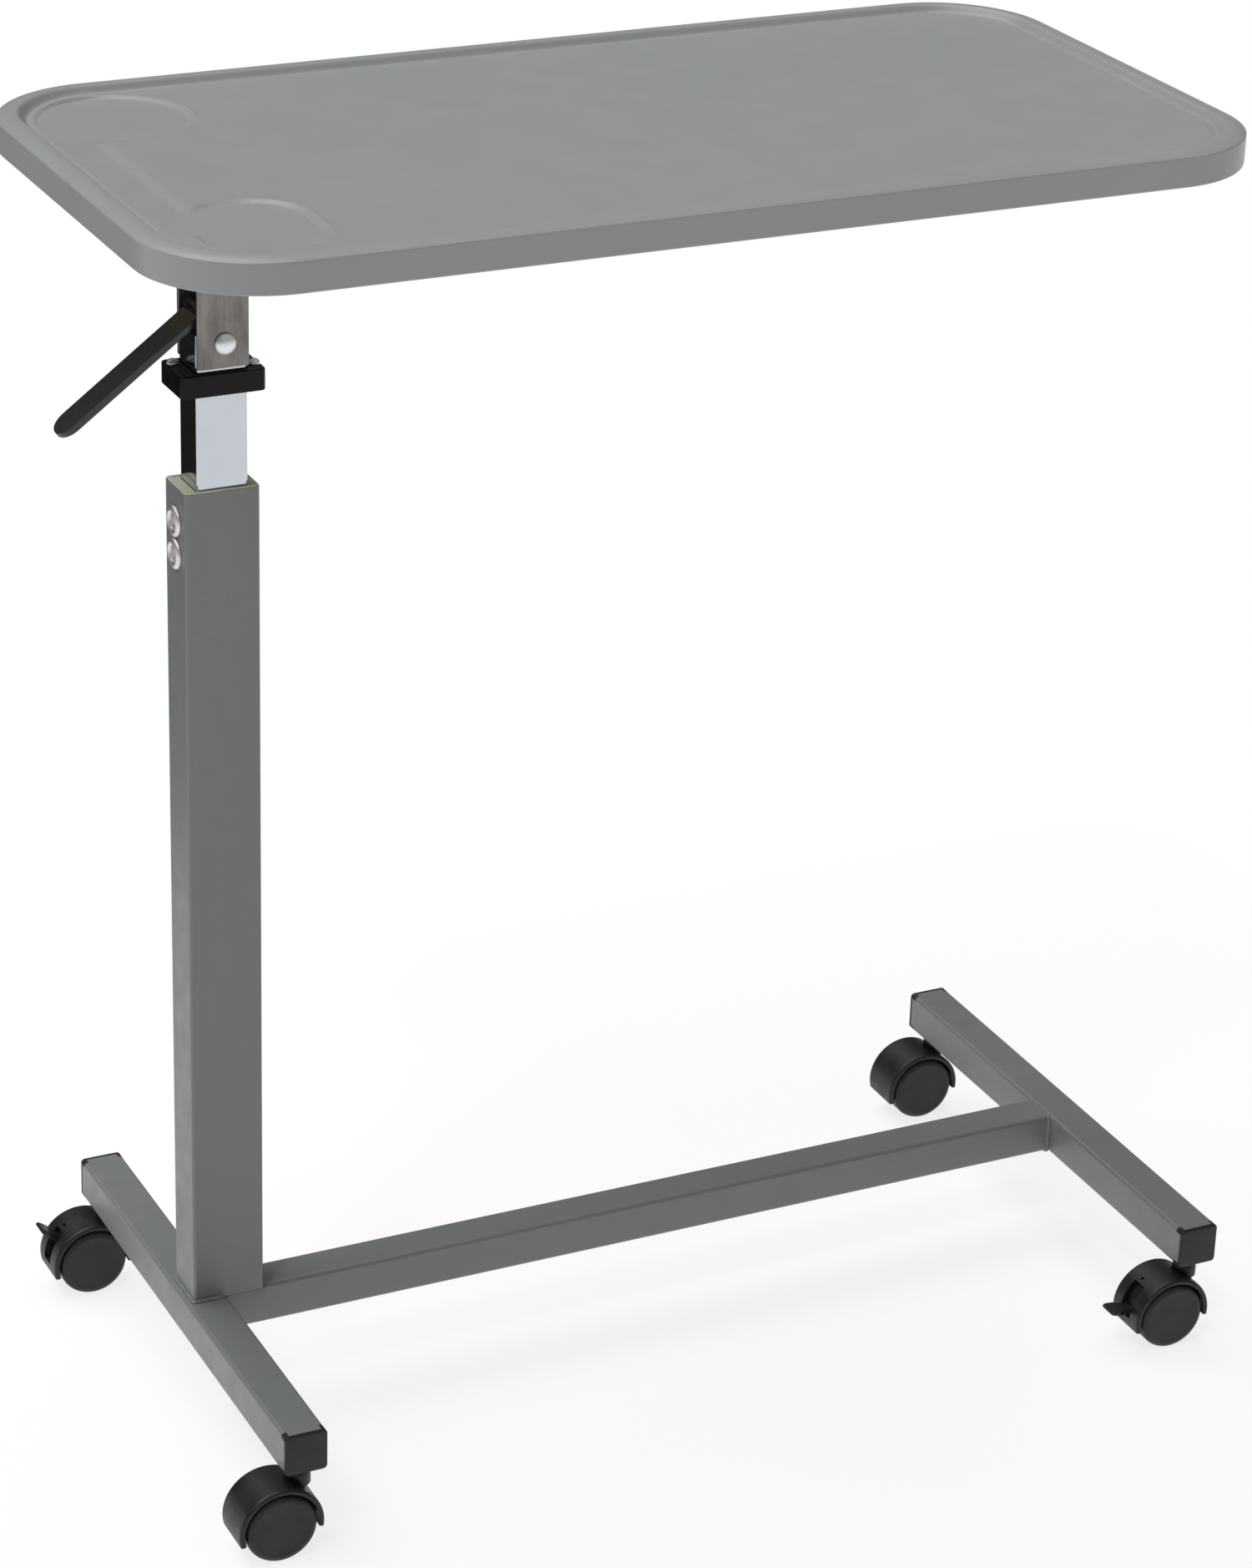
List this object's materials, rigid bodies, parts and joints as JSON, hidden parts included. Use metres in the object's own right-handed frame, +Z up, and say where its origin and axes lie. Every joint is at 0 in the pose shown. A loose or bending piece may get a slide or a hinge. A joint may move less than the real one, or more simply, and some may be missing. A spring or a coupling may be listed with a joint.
{
  "type": "overbed table",
  "caption": "Height-adjustable overbed table: rimmed tray top cantilevered on a telescopic column with a release lever, over a wheeled I-shaped tube base.",
  "frame": {"origin": "centre of the plan box, on the floor under the wheels", "axes": "+X from the column end to the far foot, +Y towards the back long side, +Z up"},
  "size_m": [0.7916, 0.406, 0.8975],
  "materials": {
    "frame_paint": "satin grey powder coat with a fine texture",
    "plated_steel": "bright plating",
    "dark_metal": "dark plated sheet, semi gloss",
    "steel": "zinc plated",
    "black_plastic": "fine moulded texture",
    "wheel_plastic": "hard wheel plastic, lightly scuffed",
    "guide_plastic": "pale natural moulding",
    "top_plastic": "satin moulded with a fine grain",
    "core_board": "raw pressed board",
    "lever_sleeve": "dipped sleeve, semi matte"
  },
  "bodies": {
    "base": {"left_foot_tube": "frame_paint", "right_foot_tube": "frame_paint", "spine_tube": "frame_paint", "end_cap_left_front": "black_plastic", "end_cap_left_back": "black_plastic", "end_cap_right_front": "black_plastic", "end_cap_right_back": "black_plastic", "outer_column": "frame_paint", "column_base_plate": "steel", "column_guide_bush": "guide_plastic", "guide_screw_lower": "plated_steel", "guide_screw_upper": "plated_steel", "gas_spring_cylinder": "dark_metal", "stem_socket_left_front": "black_plastic", "stem_socket_left_back": "black_plastic", "stem_socket_right_front": "black_plastic", "stem_socket_right_back": "black_plastic", "caster_stem_left_front": "steel", "caster_stem_left_back": "steel", "caster_stem_right_front": "steel", "caster_stem_right_back": "steel"},
    "upper": {"mast_tube": "plated_steel", "mast_foot_shoe": "guide_plastic", "gas_spring_rod": "plated_steel", "mast_head_block": "steel", "head_bolt_front": "plated_steel", "head_bolt_back": "plated_steel", "mast_collar": "black_plastic", "collar_screw": "plated_steel", "head_bracket": "dark_metal", "lever_pivot_pin": "steel", "mounting_plate": "steel", "support_rail_front": "steel", "support_rail_back": "steel", "top_screw_1": "steel", "top_screw_2": "steel", "top_screw_3": "steel", "top_screw_4": "steel", "tabletop_core_board": "core_board", "tabletop_tray": "top_plastic"},
    "lever": {"release_lever": "lever_sleeve"},
    "plunger": {"release_plunger": "steel"},
    "swivel_left_front": {"caster_hood_left_front": "black_plastic", "caster_axle_left_front": "steel"},
    "wheel_outer_left_front": {"wheel_outer_left_front": "wheel_plastic"},
    "wheel_inner_left_front": {"wheel_inner_left_front": "wheel_plastic"},
    "swivel_left_back": {"caster_hood_left_back": "black_plastic", "caster_axle_left_back": "steel"},
    "wheel_outer_left_back": {"wheel_outer_left_back": "wheel_plastic"},
    "wheel_inner_left_back": {"wheel_inner_left_back": "wheel_plastic"},
    "brake_left_back": {"brake_pedal_left_back": "black_plastic"},
    "swivel_right_front": {"caster_hood_right_front": "black_plastic", "caster_axle_right_front": "steel"},
    "wheel_outer_right_front": {"wheel_outer_right_front": "wheel_plastic"},
    "wheel_inner_right_front": {"wheel_inner_right_front": "wheel_plastic"},
    "brake_right_front": {"brake_pedal_right_front": "black_plastic"},
    "swivel_right_back": {"caster_hood_right_back": "black_plastic", "caster_axle_right_back": "steel"},
    "wheel_outer_right_back": {"wheel_outer_right_back": "wheel_plastic"},
    "wheel_inner_right_back": {"wheel_inner_right_back": "wheel_plastic"}
  },
  "joints": [
    {"name": "column_slide", "type": "slide", "parent": "base", "child": "upper", "axis": [0, 0, 1], "range_m": [-0.06, 0.29]},
    {"name": "lever_pivot", "type": "hinge", "parent": "upper", "child": "lever", "pos_m": [-0.29924, 0, 0.8028], "axis": [0, 1, 0], "range_deg": [0, 14], "stiffness_Nm_per_rad": 1, "springref_deg": -11.46},
    {"name": "plunger_slide", "type": "slide", "parent": "upper", "child": "plunger", "axis": [0, 0, 1], "range_m": [-0.0025, 0]},
    {"name": "swivel_left_front", "type": "hinge", "parent": "base", "child": "swivel_left_front", "pos_m": [-0.30724, -0.185, 0.05], "axis": [0, 0, 1], "continuous": true},
    {"name": "spin_outer_left_front", "type": "hinge", "parent": "swivel_left_front", "child": "wheel_outer_left_front", "pos_m": [-0.32464, -0.185, 0.025], "axis": [0, 1, 0], "continuous": true},
    {"name": "spin_inner_left_front", "type": "hinge", "parent": "swivel_left_front", "child": "wheel_inner_left_front", "pos_m": [-0.32464, -0.185, 0.025], "axis": [0, 1, 0], "continuous": true},
    {"name": "swivel_left_back", "type": "hinge", "parent": "base", "child": "swivel_left_back", "pos_m": [-0.30724, 0.185, 0.05], "axis": [0, 0, 1], "continuous": true},
    {"name": "spin_outer_left_back", "type": "hinge", "parent": "swivel_left_back", "child": "wheel_outer_left_back", "pos_m": [-0.32464, 0.185, 0.025], "axis": [0, 1, 0], "continuous": true},
    {"name": "spin_inner_left_back", "type": "hinge", "parent": "swivel_left_back", "child": "wheel_inner_left_back", "pos_m": [-0.32464, 0.185, 0.025], "axis": [0, 1, 0], "continuous": true},
    {"name": "brake_left_back", "type": "hinge", "parent": "swivel_left_back", "child": "brake_left_back", "pos_m": [-0.32464, 0.185, 0.025], "axis": [0, 1, 0], "range_deg": [-30, 0]},
    {"name": "swivel_right_front", "type": "hinge", "parent": "base", "child": "swivel_right_front", "pos_m": [0.38076, -0.185, 0.05], "axis": [0, 0, 1], "continuous": true},
    {"name": "spin_outer_right_front", "type": "hinge", "parent": "swivel_right_front", "child": "wheel_outer_right_front", "pos_m": [0.36336, -0.185, 0.025], "axis": [0, 1, 0], "continuous": true},
    {"name": "spin_inner_right_front", "type": "hinge", "parent": "swivel_right_front", "child": "wheel_inner_right_front", "pos_m": [0.36336, -0.185, 0.025], "axis": [0, 1, 0], "continuous": true},
    {"name": "brake_right_front", "type": "hinge", "parent": "swivel_right_front", "child": "brake_right_front", "pos_m": [0.36336, -0.185, 0.025], "axis": [0, 1, 0], "range_deg": [0, 30]},
    {"name": "swivel_right_back", "type": "hinge", "parent": "base", "child": "swivel_right_back", "pos_m": [0.38076, 0.185, 0.05], "axis": [0, 0, 1], "continuous": true},
    {"name": "spin_outer_right_back", "type": "hinge", "parent": "swivel_right_back", "child": "wheel_outer_right_back", "pos_m": [0.36336, 0.185, 0.025], "axis": [0, 1, 0], "continuous": true},
    {"name": "spin_inner_right_back", "type": "hinge", "parent": "swivel_right_back", "child": "wheel_inner_right_back", "pos_m": [0.36336, 0.185, 0.025], "axis": [0, 1, 0], "continuous": true}
  ],
  "couplings": [
    {"joint": "plunger_slide", "follows": "lever_pivot", "m_per_rad": -0.0098}
  ]
}
